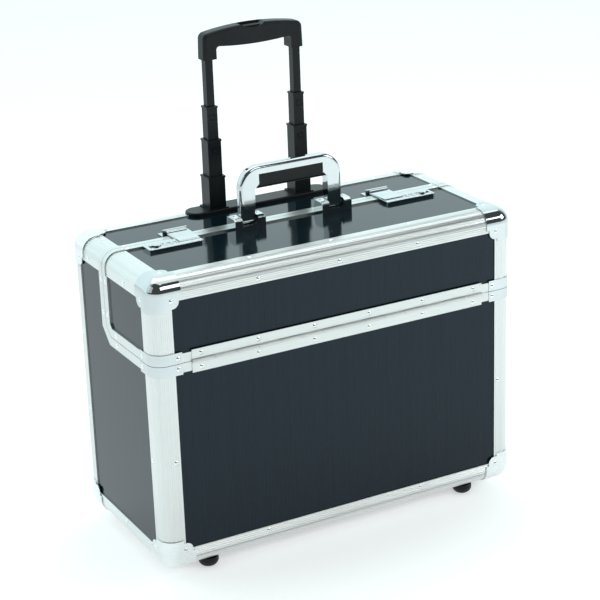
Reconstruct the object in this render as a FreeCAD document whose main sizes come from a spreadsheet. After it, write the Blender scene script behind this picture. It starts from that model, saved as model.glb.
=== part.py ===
import FreeCAD, Part
import math
import os
import re
from FreeCAD import Placement, Rotation, Vector

# Wheeled aluminium-framed pilot case, in millimetres.
# The origin is the centre of the footprint on the floor: +Z up, -Y the front, +X the right side.

DRIVING_SIZES = {
    "case_width": 485,
    "case_depth": 226,
    "body_height": 360,
    "foot_height": 12,
    # corner extrusion and the panels that it holds
    "profile_leg": 26,
    "profile_radius": 17,
    "profile_wall": 1.5,
    "panel_thickness": 4.1,
    "panel_edge": 18.8,
    "rib_pitch": 2.4,
    "rib_depth": 0.35,
    # the parting line between lid and case
    "seam_back": 18,
    "hinge_level": 271,
    "seam_gap": 0.6,
    "seam_chamfer": 12,
    "rim_width": 11.5,
    "top_rim_width": 8.5,
    "rim_proud": 0.6,
    "band_thickness": 1.2,
    # piano hinge
    "hinge_length": 392,
    "leaf_width": 14,
    "leaf_thickness": 1.2,
    "knuckle_radius": 2.2,
    "pin_radius": 1.2,
    "knuckle_count": 14,
    "running_gap": 0.05,
    # corner caps and rivets
    "cap_thickness": 1.4,
    "cap_arm": 38,
    "cap_ear_radius": 8.5,
    "rivet_radius": 2.8,
    "rivet_height": 1.1,
    # feet and wheels
    "foot_radius": 12,
    "foot_spread": 180,
    "foot_back": -94,
    "wheel_radius": 22,
    "wheel_width": 18,
    "wheel_spread": 186,
    "wheel_bore_radius": 3.05,
    "axle_radius": 3,
    # telescopic trolley handle
    "tube_spread": 59.5,
    "tube_back": 92,
    "sleeve_size": 26,
    "tube_wall": 1.2,
    "lower_size": 22,
    "middle_size": 18,
    "upper_size": 14,
    "rod_size": 10,
    "lower_top": 416,
    "middle_top": 462,
    "upper_top": 503,
    "grip_bottom": 560.5,
    "tube_length": 285,
    "bezel_length": 196,
    "bezel_depth": 30,
    "bezel_height": 3,
    "slide_gap": 0.3,
    "lock_pin_size": 6,
    "lock_pin_drop": 13.5,
    "grip_width": 136,
    "grip_depth": 19,
    "grip_leg_width": 17.5,
    # carry handle and its brackets
    "handle_width": 138,
    "handle_top": 447,
    "handle_leg": 19.5,
    "handle_depth": 13,
    "handle_pivot_height": 381,
    "handle_back": 6,
    "bracket_spread": 59.25,
    "bracket_width": 41,
    "bracket_height": 17,
    # combination locks
    "lock_length": 69.5,
    "lock_depth": 22.5,
    "lock_height": 4,
    "lock_spread": 160.5,
    "dial_radius": 5.5,
    "dial_width": 5,
    "dial_pitch": 8.3,
    "hasp_width": 26,
}

doc = FreeCAD.newDocument("pilot_case")
sheet = doc.addObject("Spreadsheet::Sheet", "Sheet")
for row, (alias, size) in enumerate(DRIVING_SIZES.items(), 1):
    sheet.set(f"A{row}", alias)
    sheet.set(f"B{row}", str(size))
    sheet.setAlias(f"B{row}", alias)
doc.recompute()


def num(alias):
    """The value of a driving size."""
    return float(sheet.get(alias))


def linked(text):
    """An expression on the driving sizes, written with their bare aliases."""
    return re.sub(r"[a-z]+(_[a-z]+)+", lambda found: "Sheet." + found.group(0), str(text))


def plane_of(body, role):
    return next(feature for feature in body.Origin.OriginFeatures if feature.Role == role)


def outline(points):
    """Closed outline: a pair is a corner, and four numbers are an arc's middle and its end."""
    edges = []
    start = points[0]
    for step in points[1:] + [points[0]]:
        end = Vector(step[-2], step[-1], 0)
        begin = Vector(start[-2], start[-1], 0)
        if len(step) == 4:
            edges.append(Part.Arc(begin, Vector(step[0], step[1], 0), end))
        elif (end - begin).Length > 1e-6:
            edges.append(Part.LineSegment(begin, end))
        start = step
    return edges


def sketch_on(body, role, loops, offset=0.0):
    sketch = body.newObject("Sketcher::SketchObject", body.Name + "Sketch")
    sketch.AttachmentSupport = [(plane_of(body, role), "")]
    sketch.MapMode = "FlatFace"
    sketch.AttachmentOffset = Placement(Vector(0, 0, offset), Rotation())
    for loop in loops:
        sketch.addGeometry(outline(loop), False)
    return sketch


def prism(name, role, loops, low, high):
    """A Body with one Pad: the loops lie across the axis, and the pad runs from low to high along it."""
    body = doc.addObject("PartDesign::Body", name)
    offset = -high if role == "XZ_Plane" else low
    pad = body.newObject("PartDesign::Pad", name + "Pad")
    pad.Profile = sketch_on(body, role, loops, offset)
    pad.Length = high - low
    return body


def pocket(body, role, loops):
    """Cuts the loops right through the body, both ways."""
    cut_through = body.newObject("PartDesign::Pocket", body.Name + "Pocket")
    cut_through.Profile = sketch_on(body, role, loops)
    cut_through.Type = "ThroughAll"
    cut_through.SideType = "Symmetric"
    return cut_through


def round_edges(body, radius, chosen):
    doc.recompute()
    picked = [f"Edge{i}" for i, edge in enumerate(body.Tip.Shape.Edges, 1) if chosen(edge)]
    base = body.Tip
    fillet = body.newObject("PartDesign::Fillet", body.Name + "Fillet")
    fillet.Base = (base, picked)
    fillet.Radius = radius
    return fillet


def block(name, xs, ys, zs):
    """A Part::Box between pairs of expressions."""
    box = doc.addObject("Part::Box", name)
    for axis, size, (low, high) in (("x", "Length", xs), ("y", "Width", ys), ("z", "Height", zs)):
        box.setExpression(size, linked(f"({high}) - ({low})"))
        box.setExpression("Placement.Base." + axis, linked(low))
    return box


def cylinder(name, radius, length, start, direction):
    """A Part::Cylinder from a start point along a direction. Radius and length are expressions."""
    rod = doc.addObject("Part::Cylinder", name)
    rod.setExpression("Radius", linked(radius))
    rod.setExpression("Height", linked(length))
    rod.Placement = Placement(Vector(*start), Rotation(Vector(0, 0, 1), Vector(*direction)))
    return rod


def fuse(name, *shapes):
    joined = doc.addObject("Part::MultiFuse", name)
    joined.Shapes = list(shapes)
    return joined


def cut(name, base, *tools):
    result = doc.addObject("Part::Cut", name)
    result.Base = base
    result.Tool = tools[0] if len(tools) == 1 else fuse(name + "Tools", *tools)
    return result


def group(name, *pieces):
    """Identical or mirrored pieces as separate solids of one sub-part."""
    together = doc.addObject("Part::Compound", name)
    together.Links = list(pieces)
    return together


def feature(name, shape, placement=None):
    shaped = doc.addObject("Part::Feature", name)
    shaped.Shape = shape
    if placement:
        shaped.Placement = placement
    return shaped


NODES = {}


def keep(label, piece):
    """Registers a finished sub-part. Its label is the name of its file."""
    piece.Label = label
    NODES[label] = piece
    return piece


def rectangle(x0, y0, x1, y1):
    return [(x0, y0), (x1, y0), (x1, y1), (x0, y1)]


def facing(x_axis, y_axis, z_axis):
    return Rotation(Vector(*x_axis), Vector(*y_axis), Vector(*z_axis), "XYZ")


HALF_WIDTH = num("case_width") / 2
HALF_DEPTH = num("case_depth") / 2
BOTTOM = num("foot_height")
TOP = BOTTOM + num("body_height")
LEG = num("profile_leg")
WALL = num("profile_wall")
EDGE = num("panel_edge")
PANEL_IN = WALL + num("panel_thickness")
SEAM = num("seam_back")
LEVEL = num("hinge_level")
GAP = num("seam_gap") / 2
SIDES = (-1, 1)
PROUD = num("rim_proud")
KNUCKLE = num("knuckle_radius")
# how far the hinge barrel stands out in front, and so how far the wheels stand out behind
HINGE_REACH = HALF_DEPTH + PROUD + 2 * KNUCKLE + 0.1

# ---------------------------------------------------------------- corner extrusions


def ribbed_outside():
    """The outer skin of the extrusion from one leg tip round the corner to the other, with fine ribs."""
    radius = num("profile_radius")
    flat = LEG - radius
    run = 2 * flat + radius * math.pi / 2
    ribs = int(run / num("rib_pitch")) // 2 * 2
    groove = 0.5 / run

    def skin(share, depth=0.0):
        along = share * run
        if along < flat:
            return (LEG - along, depth)
        if along > run - flat:
            return (depth, radius + along - (run - flat))
        turn = (along - flat) / radius
        reach = radius - depth
        return (radius - reach * math.sin(turn), radius - reach * math.cos(turn))

    points = [skin(0)]
    for rib in range(1, ribs):
        middle = rib / ribs
        points += [skin(middle - groove), skin(middle, num("rib_depth")), skin(middle + groove)]
    return points + [skin(1)]


def extrusion_section():
    """Hollow corner extrusion: ribbed skin, two channels for the panels and a chamber beside each."""
    radius = num("profile_radius")
    inner = PANEL_IN + WALL
    stop = EDGE - 0.1
    skin = ribbed_outside()
    outer = skin + [(WALL, LEG), (WALL, stop), (PANEL_IN, stop), (PANEL_IN, LEG), (inner, LEG)]
    outer += [(inner, inner), (LEG, inner), (LEG, PANEL_IN), (stop, PANEL_IN), (stop, WALL), (LEG, WALL)]
    wall = WALL + 0.2
    chamber = [(radius, wall), (radius, PANEL_IN), (PANEL_IN + 4, PANEL_IN), (PANEL_IN + 4, wall + 2)]
    mirrored = [(b, a) for a, b in chamber]
    return [outer, chamber, mirrored]


def extrusion(name, length, mitred, middle, along, inward_a, inward_b):
    """Corner extrusion with the middle of its corner line at middle. Mitred ends stop short of the corner."""
    shorter = num("profile_radius")
    low = -length / 2 + (shorter if -1 in mitred else 0)
    high = length / 2 - (shorter if 1 in mitred else 0)
    body = prism(name, "YZ_Plane", extrusion_section(), low, high)
    reach = LEG + 4
    for end in mitred:
        tip = end * length / 2
        mitre = [(tip + end, -1), (tip - end * reach, reach), (tip + end, reach)]
        pocket(body, "XY_Plane", [mitre])
        pocket(body, "XZ_Plane", [mitre])
    if Vector(*along).cross(Vector(*inward_a)).dot(Vector(*inward_b)) < 0:
        inward_a, inward_b = inward_b, inward_a
    body.Placement = Placement(Vector(*middle), facing(along, inward_a, inward_b))
    return body


BOTH = (-1, 1)
post_middle = (BOTTOM + LEVEL - GAP) / 2
post_length = LEVEL - GAP - BOTTOM
lid_post_middle = (TOP + LEVEL + GAP) / 2
lid_post_length = TOP - LEVEL - GAP
rear_run = HALF_DEPTH - SEAM - GAP
lid_run = HALF_DEPTH + SEAM - GAP

bottom_front = extrusion(
    "BottomFront", 2 * HALF_WIDTH, BOTH, (0, -HALF_DEPTH, BOTTOM), (1, 0, 0), (0, 1, 0), (0, 0, 1)
)
bottom_rear = extrusion(
    "BottomRear", 2 * HALF_WIDTH, BOTH, (0, HALF_DEPTH, BOTTOM), (1, 0, 0), (0, -1, 0), (0, 0, 1)
)
top_rear = extrusion("TopRear", 2 * HALF_WIDTH, BOTH, (0, HALF_DEPTH, TOP), (1, 0, 0), (0, -1, 0), (0, 0, -1))
keep(
    "lid_front_profile",
    extrusion("LidFront", 2 * HALF_WIDTH, BOTH, (0, -HALF_DEPTH, TOP), (1, 0, 0), (0, 1, 0), (0, 0, -1)),
)


def on_both_sides(name, length, mitred, y, z, along, inward):
    """The same extrusion at the left and right side of the case."""
    return [
        extrusion(name + tag, length, mitred, (side * HALF_WIDTH, y, z), along, (-side, 0, 0), inward)
        for tag, side in zip(("Left", "Right"), SIDES)
    ]


keep(
    "bottom_side_profiles",
    group("BottomSides", *on_both_sides("BottomSide", 2 * HALF_DEPTH, BOTH, 0, BOTTOM, (0, 1, 0), (0, 0, 1))),
)
keep(
    "front_posts",
    group(
        "FrontPosts",
        *on_both_sides("FrontPost", post_length, (-1,), -HALF_DEPTH, post_middle, (0, 0, 1), (0, 1, 0)),
    ),
)
keep(
    "rear_posts",
    group(
        "RearPosts",
        *on_both_sides("RearPost", TOP - BOTTOM, BOTH, HALF_DEPTH, (TOP + BOTTOM) / 2, (0, 0, 1), (0, -1, 0)),
    ),
)
keep(
    "top_side_profiles",
    group(
        "TopSides",
        *on_both_sides("TopSide", rear_run, (1,), HALF_DEPTH - rear_run / 2, TOP, (0, 1, 0), (0, 0, -1)),
    ),
)
keep(
    "lid_side_profiles",
    group(
        "LidSides",
        *on_both_sides("LidSide", lid_run, (-1,), lid_run / 2 - HALF_DEPTH, TOP, (0, 1, 0), (0, 0, -1)),
    ),
)
keep(
    "lid_posts",
    group(
        "LidPosts",
        *on_both_sides("LidPost", lid_post_length, (1,), -HALF_DEPTH, lid_post_middle, (0, 0, 1), (0, 1, 0)),
    ),
)

# ---------------------------------------------------------------- wheel wells and tube openings
# The wheel housings notch the rear bottom edge, and the trolley sleeves come up through the rear top edge.

HOUSING_WALL = 2.5
HOUSING_GAP = 2.5
wheel_back = HINGE_REACH - num("wheel_radius")
wheel_height = num("wheel_radius")
housing_half = num("wheel_width") / 2 + HOUSING_GAP + HOUSING_WALL
housing_front = wheel_back - num("wheel_radius") - HOUSING_GAP - HOUSING_WALL
housing_top = wheel_height + num("wheel_radius") + HOUSING_GAP + HOUSING_WALL
housing_bottom = BOTTOM - 2


def wheel_notches(name):
    """Blocks of the wheel housings' outer size."""
    notches = []
    for tag, side in zip(("Left", "Right"), SIDES):
        centre = f"{side} * wheel_spread"
        xs = (f"{centre} - {housing_half}", f"{centre} + {housing_half}")
        zs = (str(housing_bottom), str(housing_top))
        notches.append(block(name + tag, xs, (str(housing_front), "case_depth / 2 + 5"), zs))
    return notches


def tube_notches(name, low):
    """Square openings for the trolley sleeves, from low up through the top."""
    half = "sleeve_size / 2"
    notches = []
    for tag, side in zip(("Left", "Right"), SIDES):
        centre = f"{side} * tube_spread"
        xs = (f"{centre} - {half}", f"{centre} + {half}")
        ys = (f"tube_back - {half}", f"tube_back + {half}")
        notches.append(block(name + tag, xs, ys, (low, "foot_height + body_height + 1")))
    return notches


keep(
    "bottom_long_profiles",
    group("BottomLong", bottom_front, cut("BottomRearNotched", bottom_rear, *wheel_notches("RearEdgeNotch"))),
)
keep("top_rear_profile", cut("TopRearNotched", top_rear, *tube_notches("TopEdgeNotch", "200")))

# ---------------------------------------------------------------- panels
# Each panel is a laminated board whose edges sit in the channels of the extrusions.

inside_x = ("-case_width / 2 + panel_edge", "case_width / 2 - panel_edge")
front_skin = ("-case_depth / 2 + profile_wall", "-case_depth / 2 + profile_wall + panel_thickness")
rear_skin = ("case_depth / 2 - profile_wall - panel_thickness", "case_depth / 2 - profile_wall")
top_skin = (
    "foot_height + body_height - profile_wall - panel_thickness",
    "foot_height + body_height - profile_wall",
)
bottom_skin = ("foot_height + profile_wall", "foot_height + profile_wall + panel_thickness")
low_edge = "foot_height + panel_edge"
high_edge = "foot_height + body_height - panel_edge"
board_setback = "(seam_gap / 2 + profile_wall + 0.1)"

keep("front_panel", block("FrontPanel", inside_x, front_skin, (low_edge, f"hinge_level - {board_setback}")))
lid_front_height = (f"hinge_level + {board_setback}", high_edge)
keep("lid_front_panel", block("LidFrontPanel", inside_x, front_skin, lid_front_height))
rear_board = block("RearBoard", inside_x, rear_skin, (low_edge, high_edge))
keep("rear_panel", cut("RearPanel", rear_board, *wheel_notches("RearPanelNotch")))
bottom_board = block(
    "BottomBoard", inside_x, ("-case_depth / 2 + panel_edge", "case_depth / 2 - panel_edge"), bottom_skin
)
keep("bottom_panel", cut("BottomPanel", bottom_board, *wheel_notches("BottomPanelNotch")))
top_board_depth = (f"seam_back + {board_setback}", "case_depth / 2 - panel_edge")
top_board = block("TopBoard", inside_x, top_board_depth, top_skin)
keep("top_rear_panel", cut("TopRearPanel", top_board, *tube_notches("TopPanelNotch", "300")))


def seam_path(offset, top):
    """The parting line on the side, offset towards the lid (+) or the case (-): down, round, forward."""
    spread = offset * (math.sqrt(2) - 1)
    chamfer = num("seam_chamfer")
    back = SEAM - offset
    level = LEVEL + offset
    return [
        (back, top),
        (back, LEVEL + chamfer + spread),
        (SEAM - chamfer - spread, level),
        (-HALF_DEPTH + EDGE, level),
    ]


BOARD_SETBACK = GAP + WALL + 0.1
HIGH_EDGE = TOP - EDGE
case_cut = seam_path(-BOARD_SETBACK, HIGH_EDGE)
side_outline = case_cut + [
    (-HALF_DEPTH + EDGE, BOTTOM + EDGE),
    (HALF_DEPTH - EDGE, BOTTOM + EDGE),
    (HALF_DEPTH - EDGE, HIGH_EDGE),
]
lid_side_outline = seam_path(BOARD_SETBACK, HIGH_EDGE) + [(-HALF_DEPTH + EDGE, HIGH_EDGE)]


def side_boards(name, points):
    return [
        prism(name + "Left", "YZ_Plane", [points], -HALF_WIDTH + WALL, -HALF_WIDTH + PANEL_IN),
        prism(name + "Right", "YZ_Plane", [points], HALF_WIDTH - PANEL_IN, HALF_WIDTH - WALL),
    ]


keep("side_panels", group("SidePanels", *side_boards("SidePanel", side_outline)))
keep("lid_side_panels", group("LidSidePanels", *side_boards("LidSidePanel", lid_side_outline)))

# ---------------------------------------------------------------- rims along the parting line
# Lid and case each carry an edge channel along the seam. It caps the boards' cut edges, and a thin
# band carries it over the rounded extrusions.

BAND = num("band_thickness")
RIM = num("rim_width")
TOP_RIM = num("top_rim_width")
PLATE_REACH = LEG + 9
LIP = 9.0


def side_band(name, side, direction, near, far, depth_low, depth_high):
    """A flat band on one side wall between two offsets of the seam, from depth_low to depth_high inward."""
    front = -HALF_DEPTH + PLATE_REACH + 0.1
    inner = seam_path(direction * near, TOP - LEG)
    outer = seam_path(direction * far, TOP - LEG)
    inner[-1] = (front, inner[-1][1])
    outer[-1] = (front, outer[-1][1])
    loop = inner + outer[::-1]
    low, high = sorted((side * (HALF_WIDTH - depth_low), side * (HALF_WIDTH - depth_high)))
    return prism(name, "YZ_Plane", [loop], low, high)


def channel(name, direction, place):
    """Outer flange, web and inner lip as plain blocks. place maps (offset, depth) ranges to a block."""
    return [
        place(name + "Flange", direction, (GAP, TOP_RIM if "Top" in name else RIM), (-PROUD, WALL)),
        place(name + "Web", direction, (GAP, GAP + WALL), (WALL, PANEL_IN)),
        place(name + "Lip", direction, (GAP, LIP), (PANEL_IN, PANEL_IN + WALL)),
    ]


def top_piece(name, direction, offsets, depths):
    low, high = sorted((SEAM - direction * offsets[0], SEAM - direction * offsets[1]))
    reach = HALF_WIDTH - LEG
    return block(name, (-reach, reach), (low, high), (TOP - depths[1], TOP - depths[0]))


def front_piece(name, direction, offsets, depths):
    low, high = sorted((LEVEL + direction * offsets[0], LEVEL + direction * offsets[1]))
    reach = HALF_WIDTH - PLATE_REACH - 0.1
    return block(name, (-reach, reach), (depths[0] - HALF_DEPTH, depths[1] - HALF_DEPTH), (low, high))


def side_channel(name, direction, side):
    return [
        side_band(name + "Flange", side, direction, GAP, RIM, -PROUD, WALL),
        side_band(name + "Web", side, direction, GAP, GAP + WALL, WALL, PANEL_IN),
        side_band(name + "Lip", side, direction, GAP, LIP, PANEL_IN, PANEL_IN + WALL),
    ]


def wrap_loop(leg):
    """Section of a thin band that hugs the rounded extrusion from outside."""
    radius = num("profile_radius")
    inner_bend = radius - radius * math.sqrt(0.5)
    outer_bend = radius - (radius + BAND) * math.sqrt(0.5)
    outer = [(leg, -BAND), (radius, -BAND), (outer_bend, outer_bend, -BAND, radius), (-BAND, leg)]
    return outer + [(0, leg), (0, radius), (inner_bend, inner_bend, radius, 0), (leg, 0)]


def wrap(name, length, leg, middle, along, inward_a, inward_b):
    body = prism(name, "YZ_Plane", [wrap_loop(leg)], -length / 2, length / 2)
    if Vector(*along).cross(Vector(*inward_a)).dot(Vector(*inward_b)) < 0:
        inward_a, inward_b = inward_b, inward_a
    body.Placement = Placement(Vector(*middle), facing(along, inward_a, inward_b))
    return body


def rim(name, direction):
    """All the channels of one half. direction is +1 for the lid and -1 for the case."""
    pieces = [fuse(name + "Top", *channel(name + "Top", direction, top_piece))]
    pieces.append(fuse(name + "Front", *channel(name + "Front", direction, front_piece)))
    band_middle = SEAM - direction * (GAP + TOP_RIM) / 2
    for tag, side in zip(("Left", "Right"), SIDES):
        pieces.append(fuse(name + tag, *side_channel(name + tag, direction, side)))
        corner = (side * HALF_WIDTH, band_middle, TOP)
        over = (name + "Over" + tag, TOP_RIM - GAP, LEG, corner)
        pieces.append(wrap(*over, (0, 1, 0), (-side, 0, 0), (0, 0, -1)))
    return pieces


keep("lid_rim", group("LidRimSet", *rim("LidRim", 1)))
keep("case_rim", group("CaseRimSet", *rim("CaseRim", -1)))


def joint_plates(name, direction):
    """Bright plates that wrap the front posts beside the seam, with an ear on each face."""
    plates = []
    height = RIM + 2 - GAP
    middle = LEVEL + direction * (GAP + height / 2)
    for tag, side in zip(("Left", "Right"), SIDES):
        corner = (side * HALF_WIDTH, -HALF_DEPTH, middle)
        plates.append(wrap(name + tag, height, PLATE_REACH, corner, (0, 0, 1), (-side, 0, 0), (0, 1, 0)))
    return plates


keep("lid_joint_plates", group("LidJointPlates", *joint_plates("LidJointPlate", 1)))
keep("case_joint_plates", group("CaseJointPlates", *joint_plates("CaseJointPlate", -1)))

# ---------------------------------------------------------------- piano hinge

LEAF = num("leaf_thickness")
leaf_out = -HALF_DEPTH - PROUD - LEAF
axis_back = KNUCKLE - HINGE_REACH
AXIS_CLEAR = KNUCKLE + 0.4


def hinge_leaf(name, direction, first):
    """A leaf with its share of the knuckles, every other one along the pin."""
    count = int(num("knuckle_count"))
    pitch = num("hinge_length") / count
    start = -num("hinge_length") / 2
    near, far = LEVEL + direction * AXIS_CLEAR, LEVEL + direction * num("leaf_width")
    low, high = sorted((near, far))
    plate = block(
        name + "Plate",
        ("-hinge_length / 2", "hinge_length / 2"),
        (leaf_out, -HALF_DEPTH - PROUD),
        (low, high),
    )
    pieces = [plate]
    for turn in range(first, count, 2):
        x0 = start + turn * pitch + 0.2
        x1 = x0 + pitch - 0.4
        root = sorted((LEVEL + direction * 0.8, near + direction * 0.5))
        pieces.append(block(f"{name}Web{turn}", (x0, x1), (leaf_out, -HALF_DEPTH - PROUD), root))
        pieces.append(
            cylinder(f"{name}Knuckle{turn}", "knuckle_radius", x1 - x0, (x0, axis_back, LEVEL), (1, 0, 0))
        )
    bore_start = (start - 1, axis_back, LEVEL)
    bore = cylinder(name + "Bore", "pin_radius + running_gap", "hinge_length + 2", bore_start, (1, 0, 0))
    return cut(name, fuse(name + "Body", *pieces), bore)


keep("hinge_case_leaf", hinge_leaf("HingeCaseLeaf", -1, 0))
keep("hinge_lid_leaf", hinge_leaf("HingeLidLeaf", 1, 1))
keep(
    "hinge_pin",
    cylinder(
        "HingePin", "pin_radius", "hinge_length", (-num("hinge_length") / 2, axis_back, LEVEL), (1, 0, 0)
    ),
)

# ---------------------------------------------------------------- corner caps
# A pressed cap over each corner: three arms along the extrusions and an ear on each face.


def corner_cap():
    radius = num("profile_radius")
    thick = num("cap_thickness")
    arm = num("cap_arm")

    def rounded_corner(grow):
        solid = Part.makeBox(80 + grow, 80 + grow, 80 + grow, Vector(-grow, -grow, -grow))
        corner = Vector(-grow, -grow, -grow)
        edges = [e for e in solid.Edges if any((v.Point - corner).Length < 1e-6 for v in e.Vertexes)]
        return solid.makeFillet(radius + grow, edges)

    shell = rounded_corner(thick).cut(rounded_corner(0))
    low = -thick - 1
    across = radius + 6
    trims = [
        Part.makeBox(arm - low, across - low, across - low, Vector(low, low, low)),
        Part.makeBox(across - low, arm - low, across - low, Vector(low, low, low)),
        Part.makeBox(across - low, across - low, arm - low, Vector(low, low, low)),
    ]
    ear = num("cap_ear_radius")
    for normal in (Vector(1, 0, 0), Vector(0, 1, 0), Vector(0, 0, 1)):
        centre = (Vector(1, 1, 1) - normal) * LEG + normal * low
        trims.append(Part.makeCylinder(ear, 5, centre, normal))
    trim = trims[0].multiFuse(trims[1:])
    return shell.common(trim)


CAP = corner_cap()


def cap_at(name, x_side, y_side, z_side):
    """One cap, turned so that its three arms point into the case from that corner."""
    inward = [(-x_side, 0, 0), (0, -y_side, 0), (0, 0, -z_side)]
    if x_side * y_side * z_side > 0:
        inward[0], inward[1] = inward[1], inward[0]
    corner = Vector(x_side * HALF_WIDTH, y_side * HALF_DEPTH, TOP if z_side > 0 else BOTTOM)
    return feature(name, CAP, Placement(corner, facing(*inward)))


keep("lid_corner_caps", group("LidCaps", cap_at("LidCapLeft", -1, -1, 1), cap_at("LidCapRight", 1, -1, 1)))
keep("rear_corner_caps", group("RearCaps", cap_at("RearCapLeft", -1, 1, 1), cap_at("RearCapRight", 1, 1, 1)))
keep(
    "bottom_corner_caps",
    group("BottomCaps", *[cap_at(f"BottomCap{n}", x, y, -1) for n, (x, y) in enumerate(
        [(-1, -1), (1, -1), (1, 1), (-1, 1)]
    )]),
)

# ---------------------------------------------------------------- rivets
# Domed heads only: each stands on the outer skin of what it fastens.


def rivet(point, outward):
    radius = num("rivet_radius")
    height = num("rivet_height")
    ball = (radius**2 + height**2) / (2 * height)
    rise = math.degrees(math.asin((ball - height) / ball))
    normal = Vector(*outward)
    centre = Vector(*point) - normal * (ball - height)
    return Part.makeSphere(ball, centre, normal, rise, 90, 360)


def each_side(places):
    """Mirrors (x, y, z, outward) places to both sides of the case."""
    mirrored = [(-x, y, z, (-out[0], out[1], out[2])) for x, y, z, out in places]
    return places + mirrored


def cap_rivets(x_side, y_side, z_side):
    thick = num("cap_thickness")
    ear = LEG - 1
    height = TOP if z_side > 0 else BOTTOM
    x, y = x_side * (HALF_WIDTH - ear), y_side * (HALF_DEPTH - ear)
    z = height - z_side * ear
    return [
        (x, y_side * (HALF_DEPTH + thick), z, (0, y_side, 0)),
        (x_side * (HALF_WIDTH + thick), y, z, (x_side, 0, 0)),
        (x, y, height + z_side * thick, (0, 0, z_side)),
    ]


FLANGE = LEG - 5.5
RIVET_RUN = 107
FRONT, REAR, RIGHT, UP, DOWN = (0, -1, 0), (0, 1, 0), (1, 0, 0), (0, 0, 1), (0, 0, -1)
hinge_rivet_run = (37, 111, 184)
leaf_rivet = 8.5

lid_places = each_side(
    [
        (RIVET_RUN, -HALF_DEPTH, TOP - FLANGE, FRONT),
        (RIVET_RUN, -HALF_DEPTH + FLANGE, TOP, UP),
        (HALF_WIDTH, -40, TOP - FLANGE, RIGHT),
        (HALF_WIDTH - FLANGE, -40, TOP, UP),
        (HALF_WIDTH - LEG - 5, SEAM - 5, TOP + PROUD, UP),
        (HALF_WIDTH + PROUD, SEAM - 6, TOP - LEG - 8, RIGHT),
        (HALF_WIDTH + PROUD, SEAM - 6, LEVEL + 26, RIGHT),
        (HALF_WIDTH + PROUD, -10, LEVEL + 6, RIGHT),
        (HALF_WIDTH + BAND, -HALF_DEPTH + LEG + 4, LEVEL + 6.5, RIGHT),
        (HALF_WIDTH - LEG - 4, -HALF_DEPTH - BAND, LEVEL + 6.5, FRONT),
    ]
    + [(x, leaf_out, LEVEL + leaf_rivet, FRONT) for x in hinge_rivet_run]
)
lid_places += [(0, -HALF_DEPTH, TOP - FLANGE, FRONT), (0, -HALF_DEPTH + FLANGE, TOP, UP)]
case_places = each_side(
    [
        (RIVET_RUN, -HALF_DEPTH, BOTTOM + FLANGE, FRONT),
        (RIVET_RUN, HALF_DEPTH, BOTTOM + FLANGE, REAR),
        (RIVET_RUN, HALF_DEPTH, TOP - FLANGE, REAR),
        (RIVET_RUN, -HALF_DEPTH + FLANGE, BOTTOM, DOWN),
        (RIVET_RUN, HALF_DEPTH - FLANGE, BOTTOM, DOWN),
        (2 * RIVET_RUN - 45, HALF_DEPTH - FLANGE, TOP, UP),
        (HALF_WIDTH, 0, BOTTOM + FLANGE, RIGHT),
        (HALF_WIDTH - FLANGE, 0, BOTTOM, DOWN),
        (HALF_WIDTH, 62, TOP - FLANGE, RIGHT),
        (HALF_WIDTH - FLANGE, 62, TOP, UP),
        (HALF_WIDTH, -HALF_DEPTH + FLANGE, 150, RIGHT),
        (HALF_WIDTH - FLANGE, -HALF_DEPTH, 150, FRONT),
        (HALF_WIDTH, HALF_DEPTH - FLANGE, 150, RIGHT),
        (HALF_WIDTH, HALF_DEPTH - FLANGE, 250, RIGHT),
        (HALF_WIDTH - FLANGE, HALF_DEPTH, 150, REAR),
        (HALF_WIDTH - FLANGE, HALF_DEPTH, 250, REAR),
        (HALF_WIDTH - LEG - 5, SEAM + 5, TOP + PROUD, UP),
        (HALF_WIDTH + PROUD, SEAM + 6, TOP - LEG - 8, RIGHT),
        (HALF_WIDTH + PROUD, SEAM + 6, LEVEL + 26, RIGHT),
        (HALF_WIDTH + PROUD, -10, LEVEL - 6, RIGHT),
        (HALF_WIDTH + BAND, -HALF_DEPTH + LEG + 4, LEVEL - 6.5, RIGHT),
        (HALF_WIDTH - LEG - 4, -HALF_DEPTH - BAND, LEVEL - 6.5, FRONT),
    ]
    + [(x, leaf_out, LEVEL - leaf_rivet, FRONT) for x in hinge_rivet_run]
)
for x_side in SIDES:
    lid_places += cap_rivets(x_side, -1, 1)
    case_places += cap_rivets(x_side, 1, 1) + cap_rivets(x_side, 1, -1) + cap_rivets(x_side, -1, -1)

for label, places in (("lid_rivets", lid_places), ("case_rivets", case_places)):
    heads = [rivet((x, y, z), outward) for x, y, z, outward in places]
    keep(label, feature(label, Part.makeCompound(heads)))

# ---------------------------------------------------------------- feet and wheels

foot_radius = num("foot_radius")
crown = BOTTOM * 0.55
foot_outline = [(0, 0), (foot_radius * 0.55, 0), (foot_radius * 0.9, crown * 0.45, foot_radius, BOTTOM - 1.5)]
foot_outline += [(foot_radius, BOTTOM), (0, BOTTOM)]


def turned(name, points, place, direction=(0, 0, 1)):
    """A Body with one Revolution of an outline (radius, height) about its own Z axis."""
    body = doc.addObject("PartDesign::Body", name)
    revolution = body.newObject("PartDesign::Revolution", name + "Revolution")
    revolution.Profile = sketch_on(body, "XZ_Plane", [points])
    revolution.ReferenceAxis = (plane_of(body, "Z_Axis"), [""])
    revolution.Angle = 360
    body.Placement = Placement(Vector(*place), Rotation(Vector(0, 0, 1), Vector(*direction)))
    return body


feet = [turned(f"Foot{n}", foot_outline, (side * num("foot_spread"), num("foot_back"), 0)) for n, side in
        enumerate(SIDES)]
keep("front_feet", group("FrontFeet", *feet))

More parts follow.
